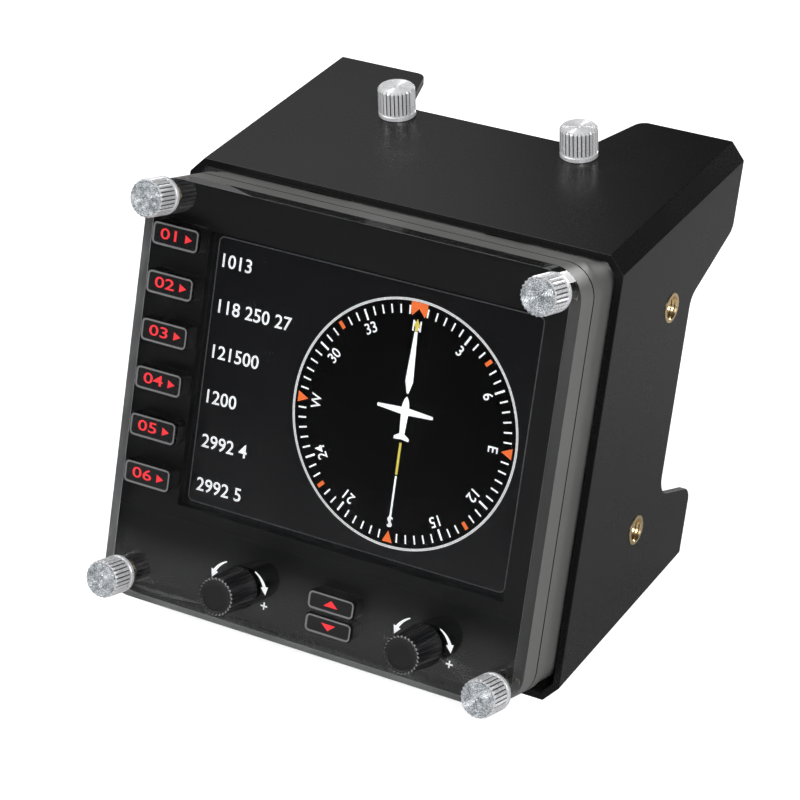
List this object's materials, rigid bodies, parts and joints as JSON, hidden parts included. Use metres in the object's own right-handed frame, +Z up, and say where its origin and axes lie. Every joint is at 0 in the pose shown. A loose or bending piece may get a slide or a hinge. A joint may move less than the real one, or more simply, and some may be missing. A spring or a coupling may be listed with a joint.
{
  "type": "flight simulator attitude indicator panel",
  "caption": "Square desktop flight instrument panel with a screen, soft keys, two knobs and thumbscrews, leaning back on an open box bracket.",
  "frame": {"origin": "middle of the bracket's lower face, on the surface it stands on", "axes": "+X to the right as the pilot sees the panel, +Y away from the pilot, +Z up"},
  "size_m": [0.0972, 0.1061, 0.0903],
  "materials": {
    "clear_acrylic": "clear, polished faces, sawn edges",
    "fascia_black": "satin black",
    "housing_black": "satin black",
    "bracket_black": "satin black",
    "foam_black": "matte",
    "screen_glass": "polished",
    "backlight_white": "smooth white",
    "ribbon_amber": "thin polyimide film",
    "moulded_cream": "moulded",
    "board_green": "solder mask",
    "chip_black": "moulded",
    "lamp_red": "clear red",
    "shaft_aluminium": "turned",
    "knob_black": "satin black",
    "key_black": "polished black",
    "insert_brass": "turned",
    "thumbscrew_nickel": "nickel plated, knurled side, turned face",
    "screw_steel": "zinc plated",
    "socket_steel": "stamped"
  },
  "bodies": {
    "case": {"front_plate": "clear_acrylic", "fascia": "fascia_black", "rear_housing": "housing_black", "bracket": "bracket_black", "window_gasket": "foam_black", "screen_glass": "screen_glass", "backlight": "backlight_white", "screen_pads": "foam_black", "screen_ribbon": "ribbon_amber", "ribbon_connector": "moulded_cream", "main_board": "board_green", "board_chips": "chip_black", "key_switches": "chip_black", "key_lamps": "lamp_red", "encoder_left": "moulded_cream", "encoder_right": "moulded_cream", "plate_inserts": "insert_brass", "stack_inserts": "insert_brass", "side_inserts": "insert_brass", "case_screws": "screw_steel", "data_socket": "socket_steel"},
    "soft_key_1": {"soft_key_1": "key_black"},
    "soft_key_2": {"soft_key_2": "key_black"},
    "soft_key_3": {"soft_key_3": "key_black"},
    "soft_key_4": {"soft_key_4": "key_black"},
    "soft_key_5": {"soft_key_5": "key_black"},
    "soft_key_6": {"soft_key_6": "key_black"},
    "page_key_up": {"page_key_up": "key_black"},
    "page_key_down": {"page_key_down": "key_black"},
    "dial_left": {"shaft_left": "shaft_aluminium", "knob_left": "knob_black"},
    "dial_right": {"shaft_right": "shaft_aluminium", "knob_right": "knob_black"},
    "washer_1_body": {"washer_1": "screw_steel"},
    "thumbscrew_1_body": {"thumbscrew_1": "thumbscrew_nickel"},
    "washer_2_body": {"washer_2": "screw_steel"},
    "thumbscrew_2_body": {"thumbscrew_2": "thumbscrew_nickel"},
    "washer_3_body": {"washer_3": "screw_steel"},
    "thumbscrew_3_body": {"thumbscrew_3": "thumbscrew_nickel"},
    "washer_4_body": {"washer_4": "screw_steel"},
    "thumbscrew_4_body": {"thumbscrew_4": "thumbscrew_nickel"},
    "stack_washer_left_body": {"stack_washer_left": "screw_steel"},
    "stack_thumbscrew_left_body": {"stack_thumbscrew_left": "thumbscrew_nickel"},
    "stack_washer_right_body": {"stack_washer_right": "screw_steel"},
    "stack_thumbscrew_right_body": {"stack_thumbscrew_right": "thumbscrew_nickel"}
  },
  "joints": [
    {"name": "soft_key_1_press", "type": "slide", "parent": "case", "child": "soft_key_1", "axis": [0, 0.9444, -0.3289], "range_m": [0, 0.0005], "stiffness_N_per_m": 1500, "springref_m": -0.0008},
    {"name": "soft_key_2_press", "type": "slide", "parent": "case", "child": "soft_key_2", "axis": [0, 0.9444, -0.3289], "range_m": [0, 0.0005], "stiffness_N_per_m": 1500, "springref_m": -0.0008},
    {"name": "soft_key_3_press", "type": "slide", "parent": "case", "child": "soft_key_3", "axis": [0, 0.9444, -0.3289], "range_m": [0, 0.0005], "stiffness_N_per_m": 1500, "springref_m": -0.0008},
    {"name": "soft_key_4_press", "type": "slide", "parent": "case", "child": "soft_key_4", "axis": [0, 0.9444, -0.3289], "range_m": [0, 0.0005], "stiffness_N_per_m": 1500, "springref_m": -0.0008},
    {"name": "soft_key_5_press", "type": "slide", "parent": "case", "child": "soft_key_5", "axis": [0, 0.9444, -0.3289], "range_m": [0, 0.0005], "stiffness_N_per_m": 1500, "springref_m": -0.0008},
    {"name": "soft_key_6_press", "type": "slide", "parent": "case", "child": "soft_key_6", "axis": [0, 0.9444, -0.3289], "range_m": [0, 0.0005], "stiffness_N_per_m": 1500, "springref_m": -0.0008},
    {"name": "page_key_up_press", "type": "slide", "parent": "case", "child": "page_key_up", "axis": [0, 0.9444, -0.3289], "range_m": [0, 0.0005], "stiffness_N_per_m": 1500, "springref_m": -0.0008},
    {"name": "page_key_down_press", "type": "slide", "parent": "case", "child": "page_key_down", "axis": [0, 0.9444, -0.3289], "range_m": [0, 0.0005], "stiffness_N_per_m": 1500, "springref_m": -0.0008},
    {"name": "knob_left_turn", "type": "hinge", "parent": "case", "child": "dial_left", "pos_m": [-0.01465, -0.03996, 0.01558], "axis": [0, -0.9444, 0.3289], "continuous": true},
    {"name": "knob_right_turn", "type": "hinge", "parent": "case", "child": "dial_right", "pos_m": [0.02715, -0.03996, 0.01558], "axis": [0, -0.9444, 0.3289], "continuous": true},
    {"name": "thumbscrew_1_lift", "type": "slide", "parent": "case", "child": "washer_1_body", "axis": [0, -0.9444, 0.3289], "range_m": [0, 0.004]},
    {"name": "thumbscrew_1_turn", "type": "hinge", "parent": "washer_1_body", "child": "thumbscrew_1_body", "pos_m": [-0.043, -0.01592, 0.08462], "axis": [0, -0.9444, 0.3289], "range_deg": [0, 2881]},
    {"name": "thumbscrew_2_lift", "type": "slide", "parent": "case", "child": "washer_2_body", "axis": [0, -0.9444, 0.3289], "range_m": [0, 0.004]},
    {"name": "thumbscrew_2_turn", "type": "hinge", "parent": "washer_2_body", "child": "thumbscrew_2_body", "pos_m": [0.043, -0.01592, 0.08462], "axis": [0, -0.9444, 0.3289], "range_deg": [0, 2881]},
    {"name": "thumbscrew_3_lift", "type": "slide", "parent": "case", "child": "washer_3_body", "axis": [0, -0.9444, 0.3289], "range_m": [0, 0.004]},
    {"name": "thumbscrew_3_turn", "type": "hinge", "parent": "washer_3_body", "child": "thumbscrew_3_body", "pos_m": [-0.043, -0.04157, 0.01096], "axis": [0, -0.9444, 0.3289], "range_deg": [0, 2881]},
    {"name": "thumbscrew_4_lift", "type": "slide", "parent": "case", "child": "washer_4_body", "axis": [0, -0.9444, 0.3289], "range_m": [0, 0.004]},
    {"name": "thumbscrew_4_turn", "type": "hinge", "parent": "washer_4_body", "child": "thumbscrew_4_body", "pos_m": [0.043, -0.04157, 0.01096], "axis": [0, -0.9444, 0.3289], "range_deg": [0, 2881]},
    {"name": "stack_thumbscrew_left_lift", "type": "slide", "parent": "case", "child": "stack_washer_left_body", "axis": [0, 0, 1], "range_m": [0, 0.0042]},
    {"name": "stack_thumbscrew_left_turn", "type": "hinge", "parent": "stack_washer_left_body", "child": "stack_thumbscrew_left_body", "pos_m": [-0.0209, 0.0368, 0.084], "axis": [0, 0, 1], "range_deg": [0, 2161]},
    {"name": "stack_thumbscrew_right_lift", "type": "slide", "parent": "case", "child": "stack_washer_right_body", "axis": [0, 0, 1], "range_m": [0, 0.0042]},
    {"name": "stack_thumbscrew_right_turn", "type": "hinge", "parent": "stack_washer_right_body", "child": "stack_thumbscrew_right_body", "pos_m": [0.0209, 0.0368, 0.084], "axis": [0, 0, 1], "range_deg": [0, 2161]}
  ],
  "couplings": [
    {"joint": "thumbscrew_1_turn", "follows": "thumbscrew_1_lift", "rad_per_m": 12566},
    {"joint": "thumbscrew_2_turn", "follows": "thumbscrew_2_lift", "rad_per_m": 12566},
    {"joint": "thumbscrew_3_turn", "follows": "thumbscrew_3_lift", "rad_per_m": 12566},
    {"joint": "thumbscrew_4_turn", "follows": "thumbscrew_4_lift", "rad_per_m": 12566},
    {"joint": "stack_thumbscrew_left_turn", "follows": "stack_thumbscrew_left_lift", "rad_per_m": 8976},
    {"joint": "stack_thumbscrew_right_turn", "follows": "stack_thumbscrew_right_lift", "rad_per_m": 8976}
  ]
}
